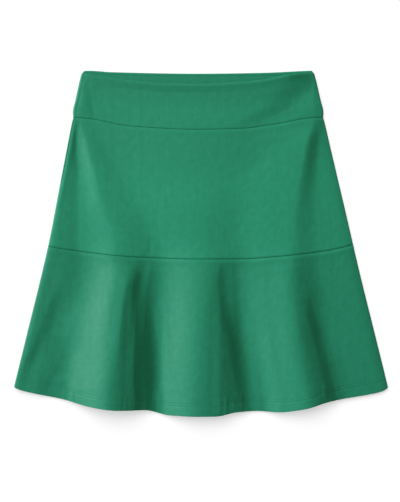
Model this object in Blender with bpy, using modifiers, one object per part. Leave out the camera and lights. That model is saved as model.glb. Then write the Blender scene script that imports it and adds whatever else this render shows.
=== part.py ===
"""A flounced A-line skirt laid flat on its back: waistband, body panel and flounce, front and back.

Metres, +Z up. The front faces up, the waist is towards +Y and the hem towards -Y. Each piece is one
layer of cloth: an outer sheet, shaped by the tables below and given its wall by Solidify.

Two coordinates place a point on the skirt. "across" runs from -1 at the left edge to 1 at the right
edge of its own row, and "course" is the length of cloth from the waist edge down, in millimetres.
"""

from collections import namedtuple
from math import pi

import bmesh
import bpy
import numpy as np

MM = 0.001

# Driving sizes, in millimetres.
CLOTH = 1.4  # wall of the body panels and of the flounces
BAND_CLOTH = 2.4  # the waistband is two layers
SEAM_GAP = 0.3  # between neighbouring pieces
SIDE_GAP = 0.45  # on the outside of a turned edge, which leaves SEAM_GAP on its inside
EDGE_ROUND = 3.4  # how far in from the side edge the cloth turns from back to front
LEAN = 4.0  # the waist lies this far to the left of the hem

# How far down the cloth each seam lies.
WAIST = 0.0
WAIST_SEAM = 70.0
FLOUNCE_SEAM = 266.0
HEM = 496.0

# The outline seen from above: half of the width and the height of the rolled side edge, by the
# distance down from the upper corners.
Outline = namedtuple("Outline", "down half_width edge_height")
OUTLINE = [
    Outline(-3, 175.0, 6.4),
    Outline(17, 180.6, 6.4),
    Outline(42, 185.7, 6.4),
    Outline(62, 190.5, 6.3),
    Outline(69, 190.0, 6.2),
    Outline(75, 191.6, 6.0),
    Outline(118, 200.9, 5.6),
    Outline(191, 216.0, 5.6),
    Outline(264, 231.2, 5.6),
    Outline(319, 244.8, 5.6),
    Outline(392, 262.8, 5.6),
    Outline(480, 284.4, 5.6),
]

# Where the lines that bound the pieces run: down from the upper corners, by the place across.
Edge = namedtuple("Edge", "across down")
FRONT_WAIST_EDGE = [
    Edge(-1, 4),
    Edge(-0.97, 1.8),
    Edge(-0.85, 5.8),
    Edge(-0.53, 13.6),
    Edge(-0.2, 18.4),
    Edge(0.05, 18.9),
    Edge(0.35, 16),
    Edge(0.55, 12.8),
    Edge(0.75, 5.6),
    Edge(0.92, 1.4),
    Edge(0.98, 0.6),
    Edge(1, 3),
]
BACK_WAIST_EDGE = [
    Edge(-1, 3),
    Edge(-0.98, -1.4),
    Edge(-0.94, -2),
    Edge(-0.75, 0.1),
    Edge(0, 2.5),
    Edge(0.57, 1.1),
    Edge(0.94, -2),
    Edge(0.98, -2.4),
    Edge(1, 2),
]
FRONT_WAIST_SEAM = [
    Edge(-1, 69),
    Edge(-0.85, 71.6),
    Edge(-0.53, 82.6),
    Edge(0, 88),
    Edge(0.32, 86),
    Edge(0.6, 79),
    Edge(0.88, 70.4),
    Edge(1, 68.8),
]
BACK_WAIST_SEAM = [
    Edge(-1, 69),
    Edge(-0.96, 71),
    Edge(-0.5, 75),
    Edge(0, 77),
    Edge(0.5, 75),
    Edge(0.96, 71),
    Edge(1, 68.8),
]
FRONT_FLOUNCE_SEAM = [
    Edge(-1, 265.2),
    Edge(-0.81, 272),
    Edge(-0.4, 281),
    Edge(0, 284.5),
    Edge(0.25, 284.3),
    Edge(0.5, 279.6),
    Edge(0.83, 270.6),
    Edge(1, 262.6),
]
BACK_FLOUNCE_SEAM = [
    Edge(-1, 265.2),
    Edge(-0.5, 277),
    Edge(0, 281),
    Edge(0.5, 276),
    Edge(1, 262.6),
]
FRONT_HEM = [
    Edge(-1, 478.3),
    Edge(-0.985, 481),
    Edge(-0.95, 484.5),
    Edge(-0.74, 496.8),
    Edge(-0.6, 507.5),
    Edge(-0.43, 513),
    Edge(-0.3, 513.3),
    Edge(-0.17, 520),
    Edge(0, 522),
    Edge(0.08, 521.7),
    Edge(0.19, 516),
    Edge(0.295, 514.5),
    Edge(0.4, 515.9),
    Edge(0.55, 511.2),
    Edge(0.66, 502),
    Edge(0.74, 497.2),
    Edge(0.95, 487.3),
    Edge(0.985, 483.3),
    Edge(1, 479.3),
]
BACK_HEM = [
    Edge(-1, 478.3),
    Edge(-0.95, 482),
    Edge(-0.6, 499),
    Edge(0, 510),
    Edge(0.6, 497),
    Edge(0.95, 483),
    Edge(1, 479.3),
]

# The folds of the front. Each section of the cloth has a place across and a height of the upper
# surface for every fold line, and the surface runs smoothly from line to line.
Fold = namedtuple(
    "Fold",
    "course left_roll left_hollow left_crest left_valley mid_crest mid_valley "
    "right_swell right_crest right_foot",
)
FOLD_ACROSS = [
    Fold(0, -0.975, -0.965, -0.935, -0.810, 0.740, 0.968, 0.971, 0.974, 0.977),
    Fold(20, -0.975, -0.970, -0.955, -0.810, 0.630, 0.950, 0.957, 0.965, 0.973),
    Fold(40, -0.975, -0.965, -0.945, -0.815, 0.490, 0.800, 0.850, 0.910, 0.965),
    Fold(70, -0.975, -0.965, -0.930, -0.825, 0.175, 0.500, 0.660, 0.830, 0.970),
    Fold(110, -0.975, -0.930, -0.835, -0.675, 0.045, 0.450, 0.605, 0.800, 0.930),
    Fold(150, -0.975, -0.880, -0.750, -0.555, 0.070, 0.285, 0.530, 0.730, 0.875),
    Fold(190, -0.975, -0.850, -0.670, -0.425, 0.015, 0.270, 0.480, 0.660, 0.825),
    Fold(240, -0.975, -0.810, -0.550, -0.305, 0.005, 0.245, 0.455, 0.605, 0.790),
    Fold(266, -0.975, -0.790, -0.545, -0.275, 0.020, 0.265, 0.430, 0.575, 0.780),
    Fold(290, -0.975, -0.770, -0.500, -0.255, 0.025, 0.245, 0.420, 0.560, 0.760),
    Fold(340, -0.975, -0.775, -0.510, -0.240, 0.015, 0.250, 0.400, 0.550, 0.775),
    Fold(390, -0.975, -0.795, -0.495, -0.230, 0.005, 0.280, 0.405, 0.545, 0.770),
    Fold(440, -0.975, -0.775, -0.485, -0.225, 0.000, 0.300, 0.420, 0.555, 0.800),
    Fold(496, -0.975, -0.765, -0.490, -0.220, -0.010, 0.330, 0.440, 0.580, 0.800),
]
FOLD_HEIGHT = [
    Fold(0, 6.3, 6.4, 7.1, 8.0, 14.6, 6.8, 6.7, 6.7, 6.6),
    Fold(20, 6.4, 6.5, 6.8, 6.4, 12.4, 6.8, 6.7, 6.8, 6.6),
    Fold(40, 6.3, 6.5, 7.0, 5.4, 10.6, 7.4, 7.6, 7.8, 6.6),
    Fold(70, 6.1, 6.2, 7.0, 5.4, 10.4, 8.6, 8.9, 9.4, 6.4),
    Fold(110, 5.8, 4.2, 7.1, 5.6, 10.8, 9.4, 10.5, 12.0, 5.8),
    Fold(150, 6.0, 3.2, 7.7, 5.6, 10.4, 9.4, 11.4, 12.8, 6.0),
    Fold(190, 6.0, 3.2, 8.4, 6.3, 10.8, 8.8, 10.8, 12.1, 6.6),
    Fold(240, 6.0, 3.2, 8.9, 4.8, 10.0, 7.4, 10.6, 11.8, 6.8),
    Fold(266, 6.0, 3.2, 11.4, 4.0, 12.2, 6.9, 10.6, 12.8, 6.8),
    Fold(290, 6.2, 3.3, 15.8, 3.8, 15.2, 6.0, 11.0, 15.4, 6.6),
    Fold(340, 6.8, 3.4, 19.8, 3.4, 18.6, 5.4, 12.2, 18.4, 6.4),
    Fold(390, 6.8, 3.4, 22.6, 3.6, 20.6, 4.4, 12.8, 20.8, 6.0),
    Fold(440, 6.4, 3.4, 24.8, 4.2, 22.0, 3.8, 13.0, 21.6, 6.0),
    Fold(496, 6.0, 3.6, 25.6, 4.6, 22.0, 3.6, 12.8, 21.2, 6.0),
]

# How far the steepest place of a flank lies from its middle: above 0 towards its left end, below 0
# towards its right. A flank has the name of the fold line at its right end.
FLANK_LEAN = {
    "left_crest": -0.1,
    "left_valley": -0.1,
    "mid_crest": 0.15,
    "mid_valley": -0.2,
    "right_foot": 0.15,
}

# The low ripples of the back flounce, between which it rests on the surface.
Ripple = namedtuple("Ripple", "across half_width rise")
BACK_RIPPLES = [
    Ripple(-0.48, 0.15, 6.5),
    Ripple(0.00, 0.14, 6.0),
    Ripple(0.56, 0.14, 5.0),
]
RIPPLE_START = 300.0

# How far the left side seam of the body has rolled on to the front, by the course.
Turn = namedtuple("Turn", "course degrees")
LEFT_SEAM_TURN = [
    Turn(70, 62),
    Turn(150, 60),
    Turn(200, 15),
    Turn(266, 0),
]

# Facets: across the turn of an edge, across the rest, and down a piece.
Facets = namedtuple("Facets", "turn across down")
FACETS = {
    "front_band": Facets(5, 56, 5),
    "back_band": Facets(5, 36, 3),
    "front_panel": Facets(5, 56, 12),
    "back_panel": Facets(8, 36, 9),
    "front_flounce": Facets(5, 56, 18),
    "back_flounce": Facets(5, 36, 11),
}

GREEN = (0.022, 0.215, 0.125, 1.0)
GREEN_INSIDE = (0.018, 0.185, 0.108, 1.0)


def smooth(at, places, values, lean=None):
    """A smooth curve through the values at their places, which never goes past them.

    With a lean for each stretch, the curve is a cross-section of folds, level at both its ends.
    """
    at, places, values = np.broadcast_arrays(np.asarray(at, float)[..., None], places, values)
    at = at[..., :1]
    steps = np.diff(places)
    slopes = np.diff(values) / steps
    before, after = slopes[..., :-1], slopes[..., 1:]
    same_way = before * after > 0
    total = np.where(same_way, before + after, 1.0)
    middle = np.where(same_way, 2 * before * after / total, 0.0)
    if lean is not None:
        slopes = np.zeros_like(slopes)
    tangents = np.concatenate([slopes[..., :1], middle, slopes[..., -1:]], axis=-1)
    inner = places[..., 1:-1]
    here = (at >= inner).sum(axis=-1, keepdims=True)

    def pick(table, index):
        return np.take_along_axis(table, index, axis=-1)[..., 0]

    step = pick(steps, here)
    part = np.clip((at[..., 0] - pick(places, here)) / step, 0, 1)
    if lean is not None:
        part = part + np.asarray(lean)[here[..., 0]] * part * (1 - part)
    low, high = pick(values, here), pick(values, here + 1)
    low_tangent, high_tangent = pick(tangents, here) * step, pick(tangents, here + 1) * step
    return (
        low * (1 + 2 * part) * (1 - part) ** 2
        + low_tangent * part * (1 - part) ** 2
        + high * part**2 * (3 - 2 * part)
        - high_tangent * part**2 * (1 - part)
    )


def column(table, name):
    return np.array([getattr(row, name) for row in table], float)


def along(table, name, at):
    """One column of a table, read smoothly at places in its first column."""
    return smooth(at, column(table, table[0]._fields[0]), column(table, name))


def centre_line(down):
    """The skirt lies with a slight lean to the left, which fades towards the flounce."""
    return -LEAN * np.clip(1 - (down / FLOUNCE_SEAM) ** 2, 0, 1) ** 1.5


def front_height(across, course, half_width, edge_height):
    """Height of the upper surface of the front, between the crests of its side edges."""
    crest = 1 - EDGE_ROUND / half_width
    names = Fold._fields[1:]
    lean = [FLANK_LEAN.get(name, 0) for name in names] + [0]
    places = [-crest] + [along(FOLD_ACROSS, name, course) for name in names] + [crest]
    heights = [edge_height] + [along(FOLD_HEIGHT, name, course) for name in names] + [edge_height]
    across = np.clip(across, -crest, crest)
    return smooth(across, np.stack(places, -1), np.stack(heights, -1), lean)


def back_height(across, course):
    """Height of the underside of the back: flat, but for the ripples of its flounce."""
    grown = np.clip((course - RIPPLE_START) / (HEM - RIPPLE_START), 0, 1)
    height = np.zeros_like(across)
    for ripple in BACK_RIPPLES:
        off = np.clip((across - ripple.across) / ripple.half_width, -1, 1)
        height += ripple.rise * np.cos(off * pi / 2) ** 2
    return height * np.sin(grown * pi / 2) ** 1.5


def left_seam_angle(course, is_body):
    """Where the left side seam lies on the turn of the edge: 0 at the edge, a quarter turn on top."""
    if not is_body:
        return np.zeros_like(course)
    return np.radians(along(LEFT_SEAM_TURN, "degrees", course))


def outer_surface(u, v, is_front, is_body, bounds, courses, facets):
    """Points of a piece's outer side. u runs from the left seam to the right, v from top to bottom."""
    turn, total = facets.turn, facets.across + 2 * facets.turn
    top, bottom = bounds
    course = courses[0] + v * (courses[1] - courses[0])
    side = 1 if is_front else -1
    left_seam = left_seam_angle(course, is_body)
    left_end = side * left_seam + SIDE_GAP / EDGE_ROUND * np.sin(left_seam)

    # The angle round each turned edge, and the place between the two edges.
    left_part = np.clip(u * total / turn, 0, 1)
    right_part = np.clip((1 - u) * total / turn, 0, 1)
    middle = np.clip((u * total - turn) / facets.across, 0, 1)
    left_angle = left_end + (pi / 2 - left_end) * left_part**2
    right_angle = pi / 2 * right_part**2
    inset = EDGE_ROUND * (1 - np.cos(left_angle)), EDGE_ROUND * (1 - np.cos(right_angle))

    # The width of a row depends on how far down it lies, and that on the place across.
    half_width = np.full_like(course, along(OUTLINE, "half_width", courses[0]))
    for _ in range(4):
        crest = 1 - EDGE_ROUND / half_width
        across = crest * (2 * middle - 1)
        across = np.where(left_part < 1, inset[0] / half_width - 1, across)
        across = np.where(right_part < 1, 1 - inset[1] / half_width, across)
        upper, lower = along(top, "down", across), along(bottom, "down", across)
        down = upper + v * (lower - upper)
        half_width = along(OUTLINE, "half_width", down)

    edge_height = along(OUTLINE, "edge_height", down)
    seam_height = edge_height / 2 + side * SIDE_GAP / 2
    turned = np.sin(np.where(left_part < 1, left_angle, right_angle))
    if is_front:
        flat = front_height(across, course, half_width, edge_height)
    else:
        flat = back_height(across, course)
    height = seam_height + (flat - seam_height) * turned
    return np.stack([centre_line(down) + across * half_width, -down, height], -1)


def cloth_material(name, colour):
    material = bpy.data.materials.new(name)
    material.use_nodes = True
    shader = material.node_tree.nodes["Principled BSDF"]
    shader.inputs["Base Color"].default_value = colour
    shader.inputs["Roughness"].default_value = 0.8
    shader.inputs["Metallic"].default_value = 0.0
    return material


def make_piece(name, wall, colour, bounds, courses):
    """One cut piece of cloth as a closed solid, from its outer side inwards."""
    facets = FACETS[name]
    is_front = name.startswith("front")
    is_body = name.endswith("panel")
    mesh = bpy.data.meshes.new(name)
    grid = bmesh.new()
    columns = facets.across + 2 * facets.turn
    bmesh.ops.create_grid(grid, x_segments=columns, y_segments=facets.down, size=1)
    flat = np.array([vertex.co for vertex in grid.verts])
    u, v = (flat[:, 0] + 1) / 2, (1 - flat[:, 1]) / 2
    points = outer_surface(u, v, is_front, is_body, bounds, courses, facets)
    points[:, 1] += (column(FRONT_HEM, "down").max() + column(BACK_WAIST_EDGE, "down").min()) / 2
    for vertex, point in zip(grid.verts, points * MM):
        vertex.co = point
    if not is_front:
        bmesh.ops.reverse_faces(grid, faces=grid.faces)
    grid.to_mesh(mesh)
    grid.free()
    mesh.shade_smooth()
    mesh.materials.append(cloth_material(name, colour))
    piece = bpy.data.objects.new(name, mesh)
    shell = piece.modifiers.new("wall", "SOLIDIFY")
    shell.thickness = wall * MM
    shell.offset = -1
    shell.use_even_offset = True
    return piece


def below(line):
    """The same line, half a seam's gap further down."""
    return [row._replace(down=row.down + SEAM_GAP / 2) for row in line]


def above(line):
    """The same line, half a seam's gap further up."""
    return [row._replace(down=row.down - SEAM_GAP / 2) for row in line]


def make_layer(side, colour, waist_edge, waist_seam, flounce_seam, hem):
    """The three pieces of one side, front or back, from the waist down."""
    return [
        make_piece(
            f"{side}_band",
            BAND_CLOTH,
            colour,
            (waist_edge, above(waist_seam)),
            (WAIST, WAIST_SEAM),
        ),
        make_piece(
            f"{side}_panel",
            CLOTH,
            colour,
            (below(waist_seam), above(flounce_seam)),
            (WAIST_SEAM, FLOUNCE_SEAM),
        ),
        make_piece(
            f"{side}_flounce",
            CLOTH,
            colour,
            (below(flounce_seam), hem),
            (FLOUNCE_SEAM, HEM),
        ),
    ]


def clear_scene():
    for thing in list(bpy.data.objects):
        bpy.data.objects.remove(thing, do_unlink=True)


def main():
    clear_scene()
    skirt = bpy.data.collections.new("flounced_skirt")
    bpy.context.scene.collection.children.link(skirt)
    front = make_layer(
        "front", GREEN, FRONT_WAIST_EDGE, FRONT_WAIST_SEAM, FRONT_FLOUNCE_SEAM, FRONT_HEM
    )
    back = make_layer(
        "back", GREEN_INSIDE, BACK_WAIST_EDGE, BACK_WAIST_SEAM, BACK_FLOUNCE_SEAM, BACK_HEM
    )
    for piece in front + back:
        skirt.objects.link(piece)


main()
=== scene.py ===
# %% [markdown]
# # A flounced A-line skirt, laid flat
#
# This lesson dresses the plain solids of a skirt in real-looking cloth. The skirt has a shaped
# waistband, an A-line body and a wavy flounce, each with a front and a back, and it lies on its
# back on a pale floor with the waist towards +Y and the hem towards -Y.
#
# The solids come in as a fixed frame in metres, with +Z up. They have the right size and place, so
# nothing here moves them. Each is replaced by a thinner and finer sheet of cloth on the same form.

# %% Load the frame
from collections import namedtuple
from math import cos, pi, radians, sin

import bpy
import numpy as np
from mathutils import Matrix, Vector


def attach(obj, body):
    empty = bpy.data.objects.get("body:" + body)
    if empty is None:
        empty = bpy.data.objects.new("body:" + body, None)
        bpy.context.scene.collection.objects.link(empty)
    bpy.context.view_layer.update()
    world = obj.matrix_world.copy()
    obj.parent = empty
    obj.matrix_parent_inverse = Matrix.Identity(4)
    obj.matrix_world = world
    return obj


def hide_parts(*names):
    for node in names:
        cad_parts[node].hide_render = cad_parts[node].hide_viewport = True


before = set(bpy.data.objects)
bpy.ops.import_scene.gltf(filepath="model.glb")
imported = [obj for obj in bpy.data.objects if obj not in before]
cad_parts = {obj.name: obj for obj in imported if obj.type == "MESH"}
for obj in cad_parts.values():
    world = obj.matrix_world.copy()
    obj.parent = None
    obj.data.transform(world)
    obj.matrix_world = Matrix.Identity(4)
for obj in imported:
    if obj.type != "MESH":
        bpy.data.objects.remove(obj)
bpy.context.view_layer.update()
MM = 0.001

# %% [markdown]
# ## The camera
#
# A garment laid out for a shop is photographed from straight above with a long lens, which keeps
# its outline true. A camera without rotation already looks down -Z with +Y at the top of its
# picture, so only its place and its lens need values. The Standard view keeps white paper white and
# a bright green as strong as it is, where Blender's usual view would soften both.

# %% Look straight down on the skirt
CAMERA_PLACE = (-0.0011, -0.0123, 1.8046)
CAMERA_LENS_MM = 85


def add_object(name, data):
    made = bpy.data.objects.new(name, data)
    bpy.context.scene.collection.objects.link(made)
    return made


camera = add_object("camera", bpy.data.cameras.new("camera"))
camera.data.lens = CAMERA_LENS_MM
camera.location = CAMERA_PLACE
bpy.context.scene.camera = camera
bpy.context.scene.view_settings.view_transform = "Standard"
print("camera height, m:", camera.location.z)

# %% [markdown]
# ## Lines of the pattern
#
# A dressmaker draws a skirt as lines: the side edges, the waist, the two seams and the hem. The
# same few sizes that shaped the solids shape the cloth here. "across" is a place from -1 at the
# left edge to 1 at the right edge of its own row, "down" is how far a point lies from the upper
# corners as seen from above, and "course" is the length of cloth from the waist edge. Lengths are
# in millimetres, and the meshes turn them into metres at the end.
#
# A line could be a Blender curve, but a function of "across" is easier to read at any point, and
# it never overshoots the sizes that are written down.

# %% A smooth curve that stays between its values
def smooth(at, places, values, lean=None):
    """A smooth curve through the values at their places, which never goes past them.

    With a lean for each stretch, the curve is a cross-section of folds, level at both its ends.
    """
    at, places, values = np.broadcast_arrays(np.asarray(at, float)[..., None], places, values)
    at = at[..., :1]
    steps = np.diff(places)
    slopes = np.diff(values) / steps
    before, after = slopes[..., :-1], slopes[..., 1:]
    same_way = before * after > 0
    total = np.where(same_way, before + after, 1.0)
    middle = np.where(same_way, 2 * before * after / total, 0.0)
    if lean is not None:
        slopes = np.zeros_like(slopes)
    tangents = np.concatenate([slopes[..., :1], middle, slopes[..., -1:]], axis=-1)
    here = (at >= places[..., 1:-1]).sum(axis=-1, keepdims=True)

    def pick(table, index):
        return np.take_along_axis(table, index, axis=-1)[..., 0]

    step = pick(steps, here)
    part = np.clip((at[..., 0] - pick(places, here)) / step, 0, 1)
    if lean is not None:
        part = part + np.asarray(lean)[here[..., 0]] * part * (1 - part)
    low, high = pick(values, here), pick(values, here + 1)
    low_tangent, high_tangent = pick(tangents, here) * step, pick(tangents, here + 1) * step
    return (
        low * (1 + 2 * part) * (1 - part) ** 2
        + low_tangent * part * (1 - part) ** 2
        + high * part**2 * (3 - 2 * part)
        - high_tangent * part**2 * (1 - part)
    )


def named_rows(columns, *rows):
    """A table: one tuple a row, with a name for each column."""
    row_kind = namedtuple("Row", columns)
    return [row_kind(*row) for row in rows]


def column(table, name):
    return np.array([getattr(row, name) for row in table], float)


def along(table, name, at):
    """One column of a table, read smoothly at places in its first column."""
    return smooth(at, column(table, table[0]._fields[0]), column(table, name))


# %% The outline and the centre line
LEAN = 4.3  # the waist lies this far to the left of the flounce's seam
LEAN_FADE = 1.5  # above 1 the lean fades softly into the flounce
DRIFT = 0.5  # and from waist to hem the centre drifts this far to the right
EDGE_ROUND = 3.4  # how far in from the side edge the cloth turns from back to front
SIDE_GAP = 0.45  # on the outside of a turned edge
WAIST, WAIST_SEAM, FLOUNCE_SEAM, HEM = 0.0, 70.0, 266.0, 496.0

OUTLINE = named_rows(
    "down half_width edge_height",
    (-3, 175.5, 6.4),
    (17, 180.6, 6.4),
    (42, 186.2, 6.4),
    (62, 190.5, 6.3),
    (69, 190.0, 6.2),
    (75, 191.6, 6.0),
    (118, 200.9, 5.6),
    (191, 216.4, 5.6),
    (264, 231.8, 5.6),
    (319, 244.7, 5.6),
    (392, 262.8, 5.6),
    (480, 284.5, 5.6),
)


def centre_line(down):
    """The skirt lies with a slight lean, most of which fades towards the flounce."""
    lean = LEAN * np.clip(1 - (down / FLOUNCE_SEAM) ** 2, 0, 1) ** LEAN_FADE
    return DRIFT * down / HEM - lean


print("width at the waist and at the hem, mm:", 2 * along(OUTLINE, "half_width", [0, 480]))

# %% The waist, the seams and the hem
def line(*points):
    return named_rows("across down", *points)


FRONT_LINES = {
    "waist_edge": line(
        (-1, 4), (-0.97, 1.8), (-0.85, 5.8), (-0.53, 13.6), (-0.2, 18.4), (0.05, 18.9),
        (0.35, 16), (0.55, 12.8), (0.75, 5.6), (0.92, 1.4), (0.98, 0.6), (1, 3),
    ),
    "waist_seam": line(
        (-1, 69), (-0.85, 71.6), (-0.53, 82.6), (0, 88), (0.32, 86.6), (0.6, 79.8), (0.88, 70.6),
        (1, 68.8),
    ),
    "flounce_seam": line(
        (-1, 265.2), (-0.81, 272), (-0.4, 281.6), (0, 284.5), (0.25, 284.3), (0.5, 280.4),
        (0.83, 271.4), (1, 262.6),
    ),
    "hem": line(
        (-1, 478.3), (-0.985, 480.9), (-0.95, 484.4), (-0.74, 497.2), (-0.6, 507.3),
        (-0.43, 512.6), (-0.3, 513.3), (-0.17, 521.4), (0, 522), (0.08, 521.9), (0.19, 516.6),
        (0.295, 515.3), (0.4, 516.6), (0.55, 510.8), (0.66, 501.9), (0.74, 497.5), (0.95, 486.8),
        (0.985, 482.9), (1, 479.3),
    ),
}
BACK_LINES = {
    "waist_edge": line(
        (-1, 2.4), (-0.985, -1.8), (-0.94, -2.2), (-0.75, -0.1), (0, 2.3), (0.57, 0.9),
        (0.94, -2.1), (0.985, -2.4), (1, 1.4),
    ),
    "waist_seam": line(
        (-1, 69), (-0.96, 71), (-0.5, 75), (0, 77), (0.5, 75), (0.96, 71), (1, 68.8),
    ),
    "flounce_seam": line((-1, 265.2), (-0.5, 277), (0, 281), (0.5, 276), (1, 262.6)),
    "hem": line(
        (-1, 478.3), (-0.95, 482), (-0.6, 499), (0, 510), (0.6, 497), (0.95, 483), (1, 479.3),
    ),
}
LINES = {"front": FRONT_LINES, "back": BACK_LINES}
highest_point = column(BACK_LINES["waist_edge"], "down").min()
lowest_point = column(FRONT_LINES["hem"], "down").max()
HALFWAY_DOWN = (highest_point + lowest_point) / 2
print("the origin lies this far down, mm:", HALFWAY_DOWN)

# %% [markdown]
# ## The folds
#
# The flounce is cut as part of a ring, so its hem is longer than its seam and the spare cloth
# stands up in waves. The body above it carries the same waves, flatter the nearer they come to the
# waist. A cloth simulation would make waves of its own, in other places than the real ones, so the
# folds are read from a table: each section across the skirt has a place and a height for every fold
# line, and the cloth runs smoothly from line to line.

# %% The fold lines of the front
FOLDS = (
    "course left_roll left_hollow left_crest left_valley mid_crest mid_valley "
    "right_swell right_crest right_foot"
)
FOLD_ACROSS = named_rows(
    FOLDS,
    (0, -0.975, -0.965, -0.935, -0.810, 0.740, 0.968, 0.971, 0.974, 0.977),
    (20, -0.975, -0.970, -0.955, -0.810, 0.630, 0.950, 0.957, 0.965, 0.973),
    (40, -0.975, -0.965, -0.945, -0.815, 0.490, 0.850, 0.895, 0.940, 0.975),
    (70, -0.975, -0.965, -0.930, -0.825, 0.175, 0.500, 0.720, 0.910, 0.978),
    (110, -0.975, -0.930, -0.835, -0.675, 0.045, 0.450, 0.610, 0.810, 0.935),
    (150, -0.975, -0.880, -0.750, -0.555, 0.070, 0.285, 0.530, 0.730, 0.875),
    (190, -0.975, -0.850, -0.670, -0.425, 0.015, 0.270, 0.480, 0.660, 0.825),
    (240, -0.975, -0.810, -0.550, -0.305, 0.005, 0.245, 0.455, 0.605, 0.790),
    (266, -0.975, -0.780, -0.545, -0.275, 0.020, 0.265, 0.430, 0.575, 0.780),
    (290, -0.975, -0.755, -0.500, -0.255, 0.025, 0.245, 0.420, 0.560, 0.760),
    (340, -0.975, -0.760, -0.510, -0.240, 0.015, 0.250, 0.400, 0.550, 0.775),
    (390, -0.975, -0.780, -0.495, -0.230, 0.005, 0.280, 0.405, 0.545, 0.770),
    (440, -0.975, -0.758, -0.485, -0.225, 0.000, 0.300, 0.420, 0.555, 0.800),
    (496, -0.975, -0.748, -0.490, -0.220, -0.010, 0.330, 0.440, 0.580, 0.800),
)
FOLD_HEIGHT = named_rows(
    FOLDS,
    (0, 6.3, 6.4, 7.1, 8.0, 14.6, 6.8, 6.7, 6.7, 6.6),
    (20, 6.4, 6.5, 6.8, 6.4, 12.4, 6.8, 6.7, 6.8, 6.6),
    (40, 6.1, 6.3, 6.8, 5.7, 10.6, 7.4, 7.4, 7.3, 6.6),
    (70, 5.9, 6.1, 6.4, 5.6, 10.4, 8.4, 8.1, 7.6, 6.3),
    (110, 5.8, 4.2, 7.1, 5.6, 10.8, 9.4, 10.5, 12.0, 5.8),
    (150, 6.0, 3.2, 7.7, 5.6, 10.4, 9.4, 11.4, 12.5, 6.2),
    (190, 6.0, 3.2, 8.4, 6.3, 10.8, 8.8, 10.8, 12.1, 6.6),
    (240, 7.0, 3.3, 8.9, 4.8, 10.0, 7.4, 10.6, 11.8, 6.8),
    (266, 7.2, 3.3, 11.0, 4.0, 12.2, 6.9, 10.6, 12.8, 6.8),
    (290, 7.2, 3.4, 15.0, 3.8, 15.2, 6.0, 11.0, 15.4, 6.6),
    (340, 7.2, 3.6, 18.7, 3.4, 18.0, 5.4, 12.2, 18.4, 6.4),
    (390, 7.4, 4.0, 22.6, 3.6, 19.6, 4.4, 12.8, 20.8, 6.0),
    (440, 7.4, 4.4, 24.8, 4.2, 20.3, 3.8, 13.0, 21.6, 6.0),
    (496, 7.0, 4.8, 25.6, 4.6, 20.3, 3.6, 12.8, 21.2, 6.0),
)

# How far the steepest place of a flank lies from its middle: above 0 towards the left, below 0
# towards the right. A flank has the name of the fold line at its right end.
FLANK_LEAN = dict(
    left_hollow=-0.3, left_crest=-0.2, left_valley=-0.1,
    mid_crest=0.25, mid_valley=-0.2, right_foot=0.15,
)
print("highest fold, mm:", max(max(row[1:]) for row in FOLD_HEIGHT))

# %% The side edges of the front
# A narrow strip along each side edge has a shape of its own, by the distance from its crest.
# Towards the flounce the left edge folds over in a thicker round, and its seam lies higher on it.
RIM = named_rows(
    "distance left right left_of_flounce",
    (0, 0.0, -1.1, -0.1),
    (2, 0.25, -0.75, -0.2),
    (6, -0.15, -0.35, 0.2),
    (10, -0.4, -0.12, 0.3),
    (16, -0.3, 0.0, 0.0),
    (30, 0.0, 0.0, -0.1),
    (44, 0.0, 0.0, 0.0),
)
RIM_LENGTH = 20.0  # the rim fades in over this length, half of it above the waist seam
THICK_START, THICK_LENGTH = 170.0, 80.0
THICK_ROUND = 1.4  # how much thicker the left edge gets over that length
SEAM_LIFT = 0.2  # a share of the edge's thickness


def thick_round(across, course):
    """How far the left edge has grown into its thick round, from 0 to 1."""
    grown = np.clip((course - THICK_START) / THICK_LENGTH, 0, 1)
    return grown * (across < 0)


def front_height(across, course, half_width, edge_height):
    """Height of the upper surface of the front, between the crests of its side edges."""
    crest = 1 - EDGE_ROUND / half_width
    names = FOLDS.split()[1:]
    lean = [FLANK_LEAN.get(name, 0) for name in names] + [0]
    places = [-crest] + [along(FOLD_ACROSS, name, course) for name in names] + [crest]
    heights = [edge_height] + [along(FOLD_HEIGHT, name, course) for name in names] + [edge_height]
    across = np.clip(across, -crest, crest)
    inwards = np.clip((crest - np.abs(across)) * half_width, 0, RIM[-1].distance)
    thick = thick_round(across, course)
    left_rim = along(RIM, "left", inwards) + thick * along(RIM, "left_of_flounce", inwards)
    rim = np.where(across < 0, left_rim, along(RIM, "right", inwards))
    below_band = np.clip((course - WAIST_SEAM) / RIM_LENGTH + 0.5, 0, 1)
    return smooth(across, np.stack(places, -1), np.stack(heights, -1), lean) + rim * below_band


print("thickest side edge, mm:", OUTLINE[-1].edge_height + THICK_ROUND)

# %% The low ripples of the back
BACK_RIPPLES = named_rows(
    "across half_width rise",
    (-0.48, 0.15, 6.5),
    (0.00, 0.14, 6.0),
    (0.56, 0.14, 5.0),
)
RIPPLE_START = 300.0
RIPPLE_GROWTH = 1.5  # above 1 the ripples stay low for longer before they rise


def back_height(across, course):
    """Height of the underside of the back: flat, but for the ripples of its flounce."""
    grown = np.clip((course - RIPPLE_START) / (HEM - RIPPLE_START), 0, 1)
    height = np.zeros_like(across)
    for ripple in BACK_RIPPLES:
        off = np.clip((across - ripple.across) / ripple.half_width, -1, 1)
        height += ripple.rise * np.cos(off * pi / 2) ** 2
    return height * np.sin(grown * pi / 2) ** RIPPLE_GROWTH


print("highest ripple, mm:", max(ripple.rise for ripple in BACK_RIPPLES))
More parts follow.
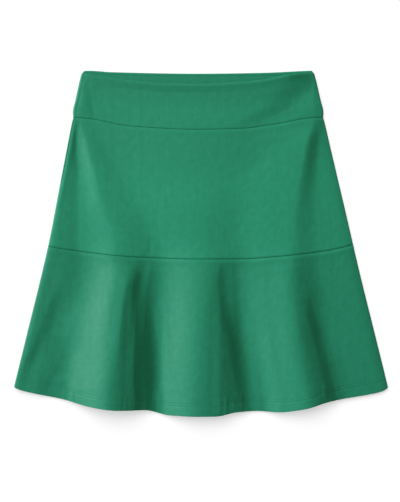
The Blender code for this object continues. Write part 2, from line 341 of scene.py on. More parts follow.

# %% [markdown]
# ## The creases
#
# Between the big folds a laid-out skirt has small creases: a fold that breaks into an edge, a
# hollow that runs out into the cloth, the fine puckers above a stitched hem. Each one here is
# placed along a bent line of three points. It rises or sinks over its own width to the left and to
# the right and fades out at its ends. "sharp" turns its round back into an edge. The back has a
# few faint ones of its own.
#
# Sculpting would do this too, but it can't be read or changed later. A row of a table can.

# %% Creases as soft ridges and troughs
CREASE = "x0 down0 x1 down1 x2 down2 left right rise sharp"
FRONT_CREASES = named_rows(
    CREASE,
    # The left wave's back ends at an edge, which the flank falls off steeply.
    (-102, 290, -118, 360, -126, 460, 15, 20, 1.6, 0.5),
    # Lower down its flank breaks into a second edge, and a hollow follows it.
    (-97, 330, -100, 420, -103, 560, 14, 12, 1.4, 0.5),
    (-78, 300, -69, 430, -64, 560, 20, 22, -1.9, 0),
    # Both valleys begin at the flounce's seam as narrow slanting hollows.
    (-83, 280, -93, 336, -98, 430, 12, 12, -1.1, 0),
    (40, 282, 38, 340, 50, 430, 12, 12, -0.8, 0),
    # The middle wave has an edge and a hollow of the same kind.
    (27, 330, 30, 430, 27, 560, 14, 26, 0.9, 0.3),
    (54, 350, 65, 440, 84, 560, 20, 20, -1.9, 0),
    # A narrow hollow below the right wave.
    (166, 340, 184, 407, 222, 560, 15, 22, -1.4, 0.2),
    # The waistband: a hollow at its left end, a drag line across its right half.
    (-171, 12, -165, 50, -156, 84, 7, 7, -0.25, 0.2),
    (202, -6, 163, 36, 82, 88, 26, 20, -0.55, 0),
    # A pucker that the flounce's seam draws into the body.
    (-77, 254, -77, 267, -76, 280, 5, 5, -0.25, 0),
    # Two slanting hollows on the low ground at the left end of the flounce.
    (-206, 320, -230, 398, -273, 482, 18, 30, -1.9, 0),
    (-196, 392, -212, 456, -224, 520, 34, 34, -2.0, 0),
    # Puckers that the hem's stitches draw up.
    (-207, 472, -208, 490, -209, 508, 4, 5, 0.5, 0),
    (-195, 484, -195, 496, -194, 508, 4, 4, 0.35, 0),
    (-226, 478, -227, 488, -228, 500, 3, 4, 0.25, 0),
    (-120, 484, -120, 500, -121, 520, 3, 4, 0.2, 0),
    (-113, 488, -113, 502, -114, 522, 3, 3, 0.3, 0),
    (-99, 470, -99, 496, -100, 522, 3, 4, 0.35, 0),
    (-84, 492, -84, 504, -85, 520, 3, 3, 0.25, 0),
    (-70, 488, -71, 500, -72, 516, 3, 3, 0.25, 0),
    (29, 492, 29, 508, 29, 528, 3, 3, 0.25, 0),
    (38, 486, 38, 504, 37, 526, 3, 4, 0.35, 0),
    (50, 490, 50, 502, 50, 520, 3, 3, 0.3, 0),
    (62, 488, 62, 500, 62, 518, 3, 3, 0.2, 0),
    (88, 486, 88, 500, 89, 518, 3, 4, 0.25, 0),
    (184, 470, 187, 486, 190, 506, 3, 4, 0.3, 0),
    (206, 468, 208, 482, 210, 498, 3, 3, 0.2, 0),
)
BACK_CREASES = named_rows(
    CREASE,
    (-120, 110, -100, 180, -90, 240, 14, 14, 0.3, 0),
    (60, 100, 76, 170, 90, 250, 16, 12, 0.3, 0),
    (-30, 120, -20, 180, 4, 262, 12, 12, 0.25, 0),
    (140, 330, 150, 400, 170, 470, 14, 14, 0.4, 0),
    (-200, 330, -215, 400, -226, 470, 14, 14, 0.4, 0),
)
CREASE_FADE = 0.3  # the share of its length over which a crease fades at each end
CREASE_STEPS = 40
EDGE_POWER = 1.6  # above 1 a sharp back falls off quickly at first


def ease(part):
    part = np.clip(part, 0, 1)
    return part * part * (3 - 2 * part)


def crease_height(crease, x, down):
    """How far one crease lifts the cloth at each point, from the nearest point of its bent line."""
    t = np.linspace(0, 1, CREASE_STEPS)
    bend_x = 2 * crease.x1 - (crease.x0 + crease.x2) / 2
    bend_down = 2 * crease.down1 - (crease.down0 + crease.down2) / 2
    path_x = (1 - t) ** 2 * crease.x0 + 2 * t * (1 - t) * bend_x + t**2 * crease.x2
    path_down = (1 - t) ** 2 * crease.down0 + 2 * t * (1 - t) * bend_down + t**2 * crease.down2
    height = np.zeros_like(x)
    widest = max(crease.left, crease.right)
    near = (x > path_x.min() - widest) & (x < path_x.max() + widest)
    near &= (down > path_down.min() - widest) & (down < path_down.max() + widest)
    if not near.any():
        return height
    run_x, run_down = np.diff(path_x), np.diff(path_down)
    length = np.hypot(run_x, run_down)
    from_x = x[near][:, None] - path_x[:-1]
    from_down = down[near][:, None] - path_down[:-1]
    part = np.clip((from_x * run_x + from_down * run_down) / length**2, 0, 1)
    off = np.hypot(from_x - part * run_x, from_down - part * run_down)
    nearest = off.argmin(axis=1)[:, None]

    def at_nearest(table):
        return np.take_along_axis(table, nearest, axis=1)[:, 0]

    side = np.sign(at_nearest(from_x * run_down - from_down * run_x))
    reach = np.where(side < 0, crease.left, crease.right)
    away = np.clip(at_nearest(off) / reach, 0, 1)
    round_back = (1 - away**2) ** 2
    edged_back = (1 - away) ** EDGE_POWER
    travelled = (nearest[:, 0] + at_nearest(part)) / (CREASE_STEPS - 1)
    fading = ease(travelled / CREASE_FADE) * ease((1 - travelled) / CREASE_FADE)
    height[near] = crease.rise * fading * (round_back + crease.sharp * (edged_back - round_back))
    return height


print("creases placed by hand:", len(FRONT_CREASES) + len(BACK_CREASES))

# %% [markdown]
# ## Seams and hem, seen close
#
# Where two pieces are sewn together, both roll down into the seam, and the seam allowances that are
# pressed towards the hem push the lower piece up a little. The light then draws a dark line with a
# pale one below it. The waistband ends in a fold instead, which is pressed thin at its edge and
# stands up behind it. A hem is turned up once and held by two rows of stitches, which sink in.
#
# These are too small for the fold table, so each is a short profile of its own: the height of the
# cloth by the distance from the line. A bevel on the mesh would round the edges, but it can't push
# one side up.

# %% Profiles beside a seam and above the hem
SEAM_PROFILE = named_rows(
    "distance upper_piece lower_piece folded_edge",
    (0, -0.5, -0.5, -1.0),
    (0.6, -0.3, -0.32, -0.65),
    (1.5, -0.08, -0.2, -0.15),
    (3.0, 0.04, 0.12, 0.5),
    (4.5, 0.04, 0.32, 0.55),
    (8, 0.01, 0.16, 0.25),
    (13, 0.0, 0.0, 0.0),
)
BACK_SEAM_SHARE = 0.35  # the back lies on its seams, which flattens them
BACK_OVERLAP = 0.5  # its pieces overlap in the seam, so that no light comes through
FLOUNCE_SEAM_SHARE = 1.6  # the fuller seam of the flounce stands out more
STITCH_ROWS = (14.6, 18.4)  # above the hem edge
STITCH_SINKS = (0.26, 0.14)
STITCH_SINK_WIDTH = 1.0


def seam_height(distance, profile):
    return along(SEAM_PROFILE, profile, np.clip(distance, 0, SEAM_PROFILE[-1].distance))


def stitch_row_height(above_hem):
    height = np.zeros_like(above_hem)
    for row, sink in zip(STITCH_ROWS, STITCH_SINKS):
        height -= sink * np.exp(-(((above_hem - row) / STITCH_SINK_WIDTH) ** 2))
    return height


print("depth of a seam, mm:", -SEAM_PROFILE[0].upper_piece)

# %% [markdown]
# ## The cut pieces
#
# Six pieces of cloth make the skirt. A row of this table says which solid a piece replaces, which
# lines bound it, where it starts and ends along the cloth, how many columns and rows its mesh has,
# and the size it was cut to, in metres: the width at its lower edge, the length at its centre and
# the flat area.
#
# A grid of points suits pieces that were flat once. Its columns crowd together where a side edge
# turns from front to back, and its rows where the seams and the stitched hem need them. Where the
# front's valleys come down to the floor, a soft limit lays its cloth on the back's, not in it.

# %% The table of pieces
BAND = ("waist_edge", "waist_seam", WAIST, WAIST_SEAM)
PANEL = ("waist_seam", "flounce_seam", WAIST_SEAM, FLOUNCE_SEAM)
FLOUNCE = ("flounce_seam", "hem", FLOUNCE_SEAM, HEM)
CUTS = named_rows(
    "side part top bottom first_course last_course columns rows width length area",
    ("back", "band", *BAND, 150, 44, 0.382, 0.075, 0.0277),
    ("back", "panel", *PANEL, 120, 60, 0.466, 0.205, 0.0861),
    ("back", "flounce", *FLOUNCE, 180, 70, 0.578, 0.230, 0.1187),
    ("front", "band", *BAND, 220, 60, 0.384, 0.070, 0.0259),
    ("front", "panel", *PANEL, 260, 110, 0.468, 0.197, 0.0847),
    ("front", "flounce", *FLOUNCE, 300, 100, 0.597, 0.239, 0.1246),
)
# Rows of points this far in from an edge, and columns at these parts of a side edge's turn.
EDGE_STEPS = np.array([0, 0.1, 0.25, 0.45, 0.75, 1.1, 1.5, 2.0, 2.6, 3.4, 4.4])
TURN_PARTS = np.array([0, 0.02, 0.05, 0.09, 0.15, 0.23, 0.33, 0.45, 0.6, 0.8])
HEM_DEPTH, HEM_STEP = 21.0, 0.55  # a finer mesh for the stitched part of the hem

# The left side seam of the body has rolled on to the front, more so near the waist.
LEFT_SEAM_TURN = named_rows("course degrees", (70, 62), (150, 60), (200, 15), (266, 0))


def fine_ends(length, count, has_hem):
    """Places from 0 to 1 along a length, close together near both its ends and down to a hem."""
    last_steps = EDGE_STEPS
    if has_hem:
        hem_steps = np.arange(EDGE_STEPS[-1], HEM_DEPTH, HEM_STEP)[1:]
        last_steps = np.concatenate([EDGE_STEPS, hem_steps])
    inner = np.linspace(EDGE_STEPS[-1], length - last_steps[-1], count)[1:-1]
    return np.concatenate([EDGE_STEPS, inner, length - last_steps[::-1]]) / length


def left_seam_angle(course, is_body):
    """Where the left side seam lies on the edge's turn: 0 at the edge, a quarter turn on top."""
    if not is_body:
        return np.zeros_like(course)
    return np.radians(along(LEFT_SEAM_TURN, "degrees", course))


def piece_columns(count):
    """How far each column is through the left turn, the flat between and the right turn."""
    left = np.concatenate([TURN_PARTS, np.ones(count + len(TURN_PARTS))])
    middle = np.concatenate([TURN_PARTS * 0, np.linspace(0, 1, count), TURN_PARTS * 0 + 1])
    return left, middle, left[::-1]


print("pieces:", [f"{cut.side}_{cut.part}" for cut in CUTS])

# %% Keep the front's cloth above the back's
CLOTH = 0.9
HEM_CLOTH = 1.6
TURN_UP = 21.0  # how far the hem allowance reaches up inside
TURN_UP_STEP = 1.4
FREE_GAP = 0.3  # between the front's cloth and the back's, at least
LANDING = 0.6  # how softly the front lands on the back
ONE_LAYER_START, ONE_LAYER_LENGTH = 25.0, 12.0  # from here up the two may lie closer together


def flounce_thickness(above_bottom, start=TURN_UP, step=TURN_UP_STEP):
    """Two layers of cloth where the hem is turned up, one layer above that."""
    single = ease((above_bottom - start) / step)
    return HEM_CLOTH + (CLOTH - HEM_CLOTH) * single


def above_the_back(height, across, course, above_bottom):
    """The front's height, but nowhere lower than two walls and a gap above the back's underside."""
    wall = flounce_thickness(above_bottom, ONE_LAYER_START, ONE_LAYER_LENGTH)
    lowest = back_height(across, course) + 2 * wall + FREE_GAP
    return (height + lowest + np.sqrt((height - lowest) ** 2 + LANDING**2)) / 2


print("front above back at the hem, mm:", 2 * HEM_CLOTH + FREE_GAP)

# %% How high a piece lies
Grid = namedtuple(
    "Grid", "across course x down half_width edge_height turned below_top above_bottom"
)


def flat_height(cut, grid):
    """Height of a piece's outer side, before its side edges turn to the side seams."""
    is_front = cut.side == "front"
    if is_front:
        height = front_height(grid.across, grid.course, grid.half_width, grid.edge_height)
        creases, seam_share = FRONT_CREASES, 1.0
    else:
        height = back_height(grid.across, grid.course)
        creases, seam_share = BACK_CREASES, -BACK_SEAM_SHARE
    for crease in creases:
        height = height + crease_height(crease, grid.x, grid.down) * np.clip(grid.turned, 0, 1) ** 2
    shares = {"waist_seam": seam_share, "flounce_seam": seam_share * FLOUNCE_SEAM_SHARE}
    if cut.top != "waist_edge":
        height = height + shares[cut.top] * seam_height(grid.below_top, "lower_piece")
    elif is_front:
        height = height + seam_height(grid.below_top, "folded_edge")
    if cut.bottom != "hem":
        height = height + shares[cut.bottom] * seam_height(grid.above_bottom, "upper_piece")
    if not is_front:
        height = np.maximum(height, 0)
    elif cut.part == "flounce":
        height = above_the_back(height, grid.across, grid.course, grid.above_bottom)
    if cut.bottom == "hem":
        height = height + (1 if is_front else -1) * stitch_row_height(grid.above_bottom)
    return height


print("a seam's lift, mm:", max(seam.lower_piece for seam in SEAM_PROFILE))

# %% Where the outer side of a piece lies
Layout = namedtuple("Layout", "points above_bottom below_top from_side")
WIDTH_ROUNDS = 4  # width and place depend on each other and settle in a few rounds


def lay_out(cut):
    """The outer side of a piece as rows of points, and how far each is from the piece's edges."""
    side = 1 if cut.side == "front" else -1
    lines = LINES[cut.side]
    v = fine_ends(cut.last_course - cut.first_course, cut.rows, cut.bottom == "hem")[:, None]
    left_part, middle, right_part = piece_columns(cut.columns)
    course = cut.first_course + v * (cut.last_course - cut.first_course) + 0 * middle
    left_seam = left_seam_angle(course, cut.part == "panel")
    left_end = side * left_seam + SIDE_GAP / EDGE_ROUND * np.sin(left_seam)
    left_angle = left_end + (pi / 2 - left_end) * left_part
    right_angle = pi / 2 * right_part + 0 * course
    half_width = np.full_like(course, along(OUTLINE, "half_width", cut.first_course))
    for _ in range(WIDTH_ROUNDS):
        from_left = EDGE_ROUND * (1 - np.cos(left_angle)) / half_width
        from_right = EDGE_ROUND * (1 - np.cos(right_angle)) / half_width
        across = (1 - EDGE_ROUND / half_width) * (2 * middle - 1)
        across = np.where(left_part < 1, from_left - 1, across)
        across = np.where(right_part < 1, 1 - from_right, across)
        upper = along(lines[cut.top], "down", across)
        if side < 0 and cut.top != "waist_edge":
            upper = upper - BACK_OVERLAP
        lower = along(lines[cut.bottom], "down", across)
        down = upper + v * (lower - upper)
        half_width = along(OUTLINE, "half_width", down)
    x = centre_line(down) + across * half_width
    thick = thick_round(across, course)
    edge_height = along(OUTLINE, "edge_height", down) + THICK_ROUND * thick
    turned = np.sin(np.where(left_part < 1, left_angle, right_angle))
    below_top, above_bottom = v * (lower - upper), (1 - v) * (lower - upper)
    flat = flat_height(
        cut, Grid(across, course, x, down, half_width, edge_height, turned, below_top, above_bottom)
    )
    seam_at = edge_height * (0.5 + SEAM_LIFT * thick) + side * SIDE_GAP / 2
    height = seam_at + (flat - seam_at) * turned
    from_side = EDGE_ROUND * np.minimum(left_angle - left_end, pi / 2 * right_part)
    points = np.stack([x, HALFWAY_DOWN - down, height], -1)
    return Layout(points, above_bottom, below_top, from_side)


# %% [markdown]
# ## From a surface to cloth
#
# Real cloth has two sides and a soft edge between them. The Solidify modifier gives a wall, but
# its edge is square and its thickness can't follow a turned-up hem. Here the wall grows both ways
# from a middle surface and closes in a half circle at every edge, so that folded and sewn edges
# catch the light along a thin round line. The hem and the waistband are two layers thick.
#
# Each mesh also keeps a UV map in metres of cloth, for the knit to follow, and the light and shade
# painted into its colour: the body is painted paler than the flounce, partly its own tone and
# partly painted light, and the bands get painted shade near the waist edge.

# %% A wall with round edges
BAND_CLOTH = 1.8  # two layers
SEAM_ROUND = 0.35  # how tightly a sewn edge rolls in
PRESSED = 4.0  # the two layers of the band are pressed flat this close to its seam
FOLD_SWELL, FOLD_LENGTH = 0.7, 4.5  # the folded upper edge of the back band is thicker
PAINTED_LIGHT_START, PAINTED_LIGHT_LENGTH = 20.0, 80.0  # the body is painted paler from here down: part its own tone, part painted light
PAINTED_SHADE_LENGTH = 42.0  # painted shade: the front band is darkest at its edge and plain this far below it
INSIDE_SHADE_LENGTH = 12.0  # painted shade: the inside of the back band is fully darkened from this far below its edge


def normals(points):
    """Unit vectors off a grid of points, upwards where its rows run down and its columns right."""
    down_step = np.gradient(points, axis=0)
    right_step = np.gradient(points, axis=1)
    normal = np.cross(down_step, right_step)
    return normal / np.linalg.norm(normal, axis=-1, keepdims=True)


def wall_thickness(cut, layout):
    if cut.part == "band":
        pressed = ease(layout.above_bottom / PRESSED)
        folded = FOLD_SWELL * np.sin(pi * np.clip(layout.below_top / FOLD_LENGTH, 0, 1)) ** 2
        return CLOTH + (BAND_CLOTH - CLOTH) * pressed + (folded if cut.side == "back" else 0)
    if cut.part == "panel":
        return np.full(layout.above_bottom.shape, CLOTH)
    return flounce_thickness(layout.above_bottom)


def both_sides(cut, layout):
    """The outer and the inner side of the wall, which meet along the piece's edges."""
    half = wall_thickness(cut, layout)[..., None] / 2
    outwards = normals(layout.points) * (1 if cut.side == "front" else -1)
    tight = half[..., 0] / SEAM_ROUND
    to_top = layout.below_top * (1 if cut.top == "waist_edge" else tight)
    to_bottom = layout.above_bottom * (1 if cut.bottom == "hem" else tight)
    to_edge = np.minimum(np.minimum(to_top, to_bottom), layout.from_side)
    into = np.minimum(to_edge[..., None], half)
    open_half = np.sqrt(np.clip(half**2 - (half - into) ** 2, 0, None))
    middle = layout.points - outwards * half
    return middle + outwards * open_half, middle - outwards * open_half


def painted_light_and_shade(cut, layout):
    """Light and shade painted into the colour: from -1, the darkest painted shade, through 0, plain
    jersey, to 1, the most painted light.
    """
    if cut.part == "band":
        if cut.side == "back":
            # Painted shade inside the back band, growing below its folded edge.
            return -ease(layout.below_top / INSIDE_SHADE_LENGTH)
        # Painted shade along the front band's waist edge, fading out downwards.
        return ease(layout.below_top / PAINTED_SHADE_LENGTH) - 1
    if cut.part == "flounce":
        return np.zeros(layout.above_bottom.shape)
    # The body is painted paler below its seam: partly its own tone, partly painted light.
    return ease((layout.below_top - PAINTED_LIGHT_START) / PAINTED_LIGHT_LENGTH)


def arc_lengths(points, axis):
    """Lengths along the rows or columns of a grid, from its first point."""
    steps = np.linalg.norm(np.diff(points, axis=axis), axis=-1)
    first = np.zeros_like(np.take(steps, [0], axis=axis))
    return np.concatenate([first, np.cumsum(steps, axis=axis)], axis=axis)


def cloth_mesh(name, outer, inner, is_front, light_and_shade):
    """One closed mesh from the two sides, with a UV map in metres of cloth and its painted light
    and shade.
    """
    rows, columns = outer.shape[:2]
    outside = np.arange(rows * columns).reshape(rows, columns)
    inside = outside.copy()
    inner_numbers = np.arange((rows - 2) * (columns - 2)).reshape(rows - 2, -1)
    inside[1:-1, 1:-1] = rows * columns + inner_numbers

    def quads(grid):
        corners = [grid[:-1, :-1], grid[1:, :-1], grid[1:, 1:], grid[:-1, 1:]]
        return np.stack(corners, -1).reshape(-1, 4)

    points = np.concatenate([outer.reshape(-1, 3), inner[1:-1, 1:-1].reshape(-1, 3)]) * MM
    faces = np.concatenate([quads(outside), quads(inside)[:, ::-1]])
    if not is_front:
        faces = faces[:, ::-1]
    mesh = bpy.data.meshes.new(name)
    mesh.from_pydata(points.tolist(), [], faces.tolist())
    mesh.shade_smooth()

    from_left, from_top = arc_lengths(outer, 1), arc_lengths(outer, 0)
    from_centre = from_left - from_left[:, columns // 2][:, None]
    on_cloth = np.stack([from_centre, from_top], -1) * MM
    on_cloth = np.concatenate([on_cloth.reshape(-1, 2), on_cloth[1:-1, 1:-1].reshape(-1, 2)])
    corner_points = np.zeros(len(mesh.loops), np.int32)
    mesh.loops.foreach_get("vertex_index", corner_points)
    uv_map = mesh.uv_layers.new(name="cloth")
    uv_map.data.foreach_set("uv", on_cloth[corner_points].astype(np.float32).ravel())
    # The light and shade painted into the colour, kept on the points for the material.
    both_light_and_shade = np.concatenate([light_and_shade.ravel(), light_and_shade[1:-1, 1:-1].ravel()]).astype(np.float32)
    mesh.attributes.new("painted_light_and_shade", "FLOAT", "POINT").data.foreach_set("value", both_light_and_shade)
    return mesh


print("cloth, single and at the hem, mm:", CLOTH, HEM_CLOTH)

# %% [markdown]
# ## The jersey
#
# The cloth is a smooth, matte jersey: fine knit loops in upright wales, too small to see from where
# the camera is, and a faint unevenness over a centimetre or so that makes the green look soft. An
# image texture would show its repeat, so both are worked out by nodes. Each is a node group with
# its sizes as named inputs.

# %% Helpers for node trees
def feed(node, inputs):
    """Feeds each input a value or another node's output."""
    for socket, value in inputs.items():
        if isinstance(value, bpy.types.NodeSocket):
            node.id_data.links.new(value, node.inputs[socket])
        else:
            node.inputs[socket].default_value = value


def place_node(tree, kind, inputs=None, **settings):
    """Adds a node, sets its properties, feeds its inputs and gives its outputs."""
    made = tree.nodes.new(kind)
    for name, value in settings.items():
        setattr(made, name, value)
    feed(made, inputs or {})
    return made.outputs


def maths(tree, operation, first, second=0.0, third=0.0):
    """The result of one Math node."""
    inputs = {0: first, 1: second, 2: third}
    return place_node(tree, "ShaderNodeMath", inputs, operation=operation)[0]


def new_material(name):
    """A new material and its shader node."""
    material = bpy.data.materials.new(name)
    material.use_nodes = True
    return material, material.node_tree.nodes["Principled BSDF"]


def new_group(name, kind, inputs, outputs):
    """An empty node group with its sockets, and its input and output nodes."""
    tree = bpy.data.node_groups.new(name, kind)
    for label, sort, value in inputs:
        socket = tree.interface.new_socket(label, in_out="INPUT", socket_type=f"NodeSocket{sort}")
        if value is not None:
            socket.default_value = value
    for label, sort in outputs:
        tree.interface.new_socket(label, in_out="OUTPUT", socket_type=f"NodeSocket{sort}")
    return tree, tree.nodes.new("NodeGroupInput").outputs, tree.nodes.new("NodeGroupOutput").inputs


print("node helpers are ready")

# %% Knit loops
YARN_RELIEF, YARN_LEVEL = 0.35, 0.5  # how far the yarn rises and falls about its level


def knit_group():
    """Upright columns of small V shapes: the height of the yarn on the face of a jersey."""
    tree, given, result = new_group(
        "knit_loops",
        "ShaderNodeTree",
        [
            ("Cloth", "Vector", None),
            ("Wales per Metre", "Float", 1100.0),
            ("Courses per Metre", "Float", 1500.0),
        ],
        [("Height", "Float")],
    )
    place = place_node(tree, "ShaderNodeSeparateXYZ", {0: given["Cloth"]})
    wale = maths(tree, "MULTIPLY", place["X"], given["Wales per Metre"])
    course = maths(tree, "MULTIPLY", place["Y"], given["Courses per Metre"])
    in_wale = maths(tree, "FRACT", wale)
    from_middle = maths(tree, "ABSOLUTE", maths(tree, "SUBTRACT", in_wale, 0.5))
    slanted = maths(tree, "ADD", course, from_middle)
    yarn = maths(tree, "SINE", maths(tree, "MULTIPLY", slanted, 2 * pi))
    leg = maths(tree, "SINE", maths(tree, "MULTIPLY", from_middle, 2 * pi))
    relief = maths(tree, "MULTIPLY_ADD", yarn, YARN_RELIEF, YARN_LEVEL)
    tree.links.new(maths(tree, "MULTIPLY", relief, leg), result["Height"])
    return tree


knit_loops = knit_group()
print("node group:", knit_loops.name)

# %% Unevenness of the cloth
UPRIGHT = (1.0, 0.08, 1.0)  # draws round patches out into upright streaks


def unevenness_group():
    """Soft patches and faint upright streaks, as a tone from 0 to 1 and as a height."""
    tree, given, result = new_group(
        "cloth_unevenness",
        "ShaderNodeTree",
        [
            ("Cloth", "Vector", None),
            ("Patches per Metre", "Float", 90.0),
            ("Streaks per Metre", "Float", 220.0),
            ("Streak Share", "Float", 0.35),
        ],
        [("Tone", "Float"), ("Height", "Float")],
    )
    round_noise = {"Vector": given["Cloth"], "Scale": given["Patches per Metre"], "Detail": 2.0}
    patches = place_node(tree, "ShaderNodeTexNoise", round_noise)["Fac"]
    stretch = {0: given["Cloth"], 1: UPRIGHT}
    drawn_out = place_node(tree, "ShaderNodeVectorMath", stretch, operation="MULTIPLY")[0]
    long_noise = {"Vector": drawn_out, "Scale": given["Streaks per Metre"], "Detail": 1.0}
    streaks = place_node(tree, "ShaderNodeTexNoise", long_noise)["Fac"]
    shares = {0: given["Streak Share"], 2: patches, 3: streaks}
    tone = place_node(tree, "ShaderNodeMix", shares, data_type="FLOAT")[0]
    tree.links.new(tone, result["Tone"])
    tree.links.new(patches, result["Height"])
    return tree


cloth_unevenness = unevenness_group()
print("node group:", cloth_unevenness.name)

# %% The cloth's material
JERSEY_DARK = (0.0118, 0.180, 0.101, 1.0)
JERSEY_LIGHT = (0.0192, 0.242, 0.141, 1.0)
JERSEY_ROUGHNESS = 0.53
JERSEY_GLOSS = 0.22
KNIT_DEPTH = 0.00003
PATCH_DEPTH = 0.0004
PAINTED_LIGHT_STRENGTH = 0.10  # how much brighter a painted light of 1 is than plain cloth


def jersey_material():
    """Two greens in soft patches, brightened by painted light and darkened by painted shade, under
    a fine knit.
    """
    material, shader = new_material("green_jersey")
    tree = material.node_tree
    cloth = place_node(tree, "ShaderNodeUVMap", uv_map="cloth")[0]
    uneven = place_node(tree, "ShaderNodeGroup", {"Cloth": cloth}, node_tree=cloth_unevenness)
    knit = place_node(tree, "ShaderNodeGroup", {"Cloth": cloth}, node_tree=knit_loops)
    greens = {0: uneven["Tone"], 6: JERSEY_DARK, 7: JERSEY_LIGHT}
    patchy = place_node(tree, "ShaderNodeMix", greens, data_type="RGBA")[2]
    # The painted light and shade brighten or darken the green.
    light_and_shade = place_node(tree, "ShaderNodeAttribute", attribute_name="painted_light_and_shade")["Fac"]
    painted_gain = maths(tree, "MULTIPLY_ADD", light_and_shade, PAINTED_LIGHT_STRENGTH, 1.0)
    scaled = {0: patchy, "Scale": painted_gain}
    colour_with_painted_light = place_node(tree, "ShaderNodeVectorMath", scaled, operation="SCALE")[0]
    patches = {"Height": uneven["Height"], "Distance": PATCH_DEPTH}
    soft = place_node(tree, "ShaderNodeBump", patches)[0]
    loops = {"Height": knit["Height"], "Distance": KNIT_DEPTH, "Normal": soft}
    bump = place_node(tree, "ShaderNodeBump", loops)[0]
    feed(shader, {"Base Color": colour_with_painted_light, "Normal": bump, "Roughness": JERSEY_ROUGHNESS})
    feed(shader, {"Specular IOR Level": JERSEY_GLOSS})
    return material


green_jersey = jersey_material()
print("material:", green_jersey.name)

# %% Make the six pieces
outer_sides = {}
sheets = {}
for cut in CUTS:
    node = f"{cut.side}_{cut.part}"
    layout = lay_out(cut)
    outer, inner = both_sides(cut, layout)
    mesh = cloth_mesh(f"{node}_cloth", outer, inner, cut.side == "front", painted_light_and_shade(cut, layout))
    mesh.materials.append(green_jersey)
    sheets[node] = add_object(f"{node}_cloth", mesh)
    outer_sides[node] = outer, layout.above_bottom
    widths = arc_lengths(outer, 1)[[0, -1], -1]
    depth = arc_lengths(outer, 0)[-1, outer.shape[1] // 2]
    size = [round(float(value)) for value in (*widths, depth)]
    area = sum(face.area for face in mesh.polygons) / 2
    print(f"{node}: top, bottom, depth {size} mm, area {area:.4f} m2, {len(mesh.polygons)} faces")

# %% [markdown]
# ## Stitches
#
# The hem is held by two rows of straight stitches in matching thread, a twin-needle hem. Thousands
# of equal small things on a line are work for Geometry Nodes: the tree spaces points along each
# line, puts a small rounded stitch on each and turns it along the line. Length, gap and thread are
# named inputs. A texture of stitches would lie flat in the light.

# %% The stitch tree
BEAD = {"Segments": 6, "Rings": 5, "Radius": 0.5}  # one unit across, so its scale is its size


def stitch_tree():
    """Beads of thread along a line, each turned along it, a little unsteadily."""
    tree, given, result = new_group(
        "row_of_stitches",
        "GeometryNodeTree",
        [
            ("Seam Line", "Geometry", None),
            ("Stitch Length", "Float", 0.0026),
            ("Gap", "Float", 0.0005),
            ("Thread", "Float", 0.00045),
            ("Turn", "Float", 0.06),
            ("Seed", "Int", None),
            ("Material", "Material", None),
        ],
        [("Stitches", "Geometry")],
    )
    curve = place_node(tree, "GeometryNodeMeshToCurve", {0: given["Seam Line"]})[0]
    spacing = {"Curve": curve, "Length": given["Stitch Length"]}
    spaced = place_node(tree, "GeometryNodeResampleCurve", spacing, mode="LENGTH")[0]
    bead = place_node(tree, "GeometryNodeMeshUVSphere", BEAD)["Mesh"]
    long_side = maths(tree, "SUBTRACT", given["Stitch Length"], given["Gap"])
    sides = {0: long_side, 1: given["Thread"], 2: given["Thread"]}
    size = place_node(tree, "ShaderNodeCombineXYZ", sides)[0]
    tangent = place_node(tree, "GeometryNodeInputTangent")[0]
    turn_back = maths(tree, "MULTIPLY", given["Turn"], -1.0)
    limits = {"Min": turn_back, "Max": given["Turn"], "Seed": given["Seed"]}
    unsteady = place_node(tree, "FunctionNodeRandomValue", limits, data_type="FLOAT")[1]
    away = place_node(tree, "ShaderNodeCombineXYZ", {0: unsteady, 1: unsteady, 2: 0.0})[0]
    both_ways = {0: tangent, 1: away}
    heading = place_node(tree, "ShaderNodeVectorMath", both_ways, operation="ADD")[0]
    ahead = {"Vector": heading}
    rotation = place_node(tree, "FunctionNodeAlignRotationToVector", ahead, axis="X")[0]
    where = {"Points": spaced, "Instance": bead, "Rotation": rotation, "Scale": size}
    placed = place_node(tree, "GeometryNodeInstanceOnPoints", where)["Instances"]
    real = place_node(tree, "GeometryNodeRealizeInstances", {"Geometry": placed})[0]
    rounded = place_node(tree, "GeometryNodeSetShadeSmooth", {"Geometry": real})[0]
    dyed = {"Geometry": rounded, "Material": given["Material"]}
    finished = place_node(tree, "GeometryNodeSetMaterial", dyed)[0]
    tree.links.new(finished, result["Stitches"])
    return tree


row_of_stitches = stitch_tree()
print("geometry tree:", row_of_stitches.name)

# %% The lines that are sewn
ROW_ENDS = 4  # columns left free at each end of a row
STITCH_SEED = 3


def row_above_hem(node, above):
    """Points along a flounce's outer side at one distance from its hem, in metres."""
    outer, above_bottom = outer_sides[node]
    surface, distance = outer[::-1], above_bottom[::-1]
    first = len(TURN_PARTS) + ROW_ENDS
    points = [
        [np.interp(above, distance[:, c], surface[:, c, axis]) for axis in range(3)]
        for c in range(first, surface.shape[1] - first)
    ]
    return np.array(points) * MM


def seam_line_object(name, rows):
    """A mesh of edges only, one chain for each row of stitches."""
    mesh = bpy.data.meshes.new(name)
    points, edges = [], []
    for row in rows:
        start = len(points)
        points += row.tolist()
        edges += [(start + i, start + i + 1) for i in range(len(row) - 1)]
    mesh.from_pydata(points, edges, [])
    return add_object(name, mesh)


def sew(name, rows, material):
    """Runs the stitch tree on rows of points and keeps the result as a plain mesh."""
    made = seam_line_object(name, rows)
    modifier = made.modifiers.new("stitches", "NODES")
    modifier.node_group = row_of_stitches
    names = {item.name: item.identifier for item in row_of_stitches.interface.items_tree}
    modifier[names["Seed"]] = STITCH_SEED
    modifier[names["Material"]] = material
    graph = bpy.context.evaluated_depsgraph_get()
    mesh = bpy.data.meshes.new_from_object(made.evaluated_get(graph))
    made.modifiers.clear()
    made.data = mesh
    print(f"{name}: {len(mesh.polygons)} faces")
    return made


print("rows of stitches, mm above the hem's edge:", STITCH_ROWS)

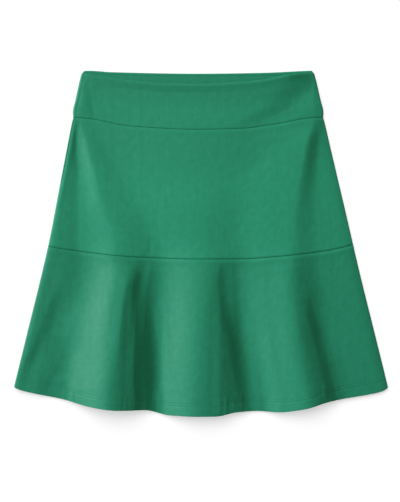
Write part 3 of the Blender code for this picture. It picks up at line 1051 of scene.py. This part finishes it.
# %% Thread, and the two hems
THREAD_COLOUR = (0.0110, 0.155, 0.086, 1.0)
THREAD_ROUGHNESS = 0.5
TWIST = {"Scale": 2400.0, "Distortion": 1.0}  # a turn of the yarn about every 0.13 mm
TWIST_DEPTH = 0.00003


def thread_material():
    """Matching polyester thread, a little glossier than the cloth, with a fine twist."""
    material, shader = new_material("green_thread")
    tree = material.node_tree
    place = place_node(tree, "ShaderNodeTexCoord")["Object"]
    twist = place_node(tree, "ShaderNodeTexWave", {"Vector": place, **TWIST})["Fac"]
    ridges = {"Height": twist, "Distance": TWIST_DEPTH}
    bump = place_node(tree, "ShaderNodeBump", ridges)[0]
    greens = {0: twist, 6: THREAD_COLOUR, 7: JERSEY_LIGHT}
    tone = place_node(tree, "ShaderNodeMix", greens, data_type="RGBA")[2]
    feed(shader, {"Base Color": tone, "Normal": bump, "Roughness": THREAD_ROUGHNESS})
    return material


green_thread = thread_material()
hem_stitches = {}
for side in ("front", "back"):
    rows = [row_above_hem(f"{side}_flounce", above) for above in STITCH_ROWS]
    hem_stitches[side] = sew(f"{side}_hem_stitches", rows, green_thread)

# %% [markdown]
# ## Floor and light
#
# The skirt lies on a plain white surface under soft studio light. A large lamp on the left, low
# over the cloth, models the folds, and a weak one above the waist softens their shade. An even sky
# could not do both. The floor has lights of its own, so that it stays white and its only shadow is
# the soft one below the hem.

# %% The floor
FLOOR_HALF = 3.0
FLOOR_WHITE = (0.94, 0.93, 0.95, 1.0)

floor_mesh = bpy.data.meshes.new("floor")
corners = [(x * FLOOR_HALF, y * FLOOR_HALF, 0) for x, y in ((-1, -1), (1, -1), (1, 1), (-1, 1))]
floor_mesh.from_pydata(corners, [], [(0, 1, 2, 3)])
floor = add_object("floor", floor_mesh)

white_floor, floor_shader = new_material("white_floor")
feed(floor_shader, {"Base Color": FLOOR_WHITE, "Roughness": 1.0, "Specular IOR Level": 0.0})
floor_mesh.materials.append(white_floor)
print("floor, m:", 2 * FLOOR_HALF)

# %% The lights
SKY, SKY_COLOUR = 0.13, (1.0, 1.0, 0.85, 1.0)
FAR = 8.0

world = bpy.data.worlds.new("studio")
bpy.context.scene.world = world
world.use_nodes = True
feed(world.node_tree.nodes["Background"], {"Color": SKY_COLOUR, "Strength": SKY})


def direction(azimuth, elevation):
    """A unit vector from two angles in degrees, from +X towards +Y and up from the floor."""
    azimuth, elevation = radians(azimuth), radians(elevation)
    return Vector((cos(azimuth) * cos(elevation), sin(azimuth) * cos(elevation), sin(elevation)))


def add_lamp(name, kind, towards, distance=FAR, **settings):
    """A lamp that stands this way from the skirt's middle and shines back at it."""
    lamp = add_object(name, bpy.data.lights.new(name, kind))
    for setting, value in settings.items():
        setattr(lamp.data, setting, value)
    lamp.location = towards * distance
    lamp.rotation_euler = towards.to_track_quat("Z", "Y").to_euler()
    return lamp


def light_only(lamp, name, things):
    """Limits a lamp to some objects by light linking."""
    lit = bpy.data.collections.new(name)
    for thing in things:
        lit.objects.link(thing)
    lamp.light_linking.receiver_collection = lit


key = add_lamp(
    "key", "AREA", direction(164, 24), shape="DISK", size=1.4, energy=930.0, color=(1.0, 1.0, 1.05)
)
top_light = add_lamp(
    "top_light", "AREA", direction(90, 62), distance=1.4,
    shape="DISK", size=0.8, energy=7.4, color=(1.0, 1.0, 0.8),
)
top_light.visible_glossy = False  # it fills without a shine of its own
floor_light = add_lamp("floor_light", "SUN", direction(116, 47), energy=1.8, angle=radians(60))
floor_fill = add_lamp("floor_fill", "SUN", Vector((0, 0, 1)), energy=1.75, use_shadow=False)

sewn_pieces = [*sheets.values(), *hem_stitches.values()]
light_only(floor_fill, "lit_evenly", [floor])
light_only(key, "lit_by_key", sewn_pieces)
light_only(top_light, "lit_by_top_light", sewn_pieces)
light_only(floor_light, "lit_from_above", [floor])
print("lamps:", [lamp.name for lamp in (key, top_light, floor_light, floor_fill)])

# %% [markdown]
# ## Hand over
#
# Each sheet rides on the model's one body and replaces its solid.

# %% Ride and replace
for cut in CUTS:
    node = f"{cut.side}_{cut.part}"
    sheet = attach(sheets[node], "root")
    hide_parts(node)
for stitches in hem_stitches.values():
    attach(stitches, "root")
print("declared:", [piece.name for piece in sewn_pieces])
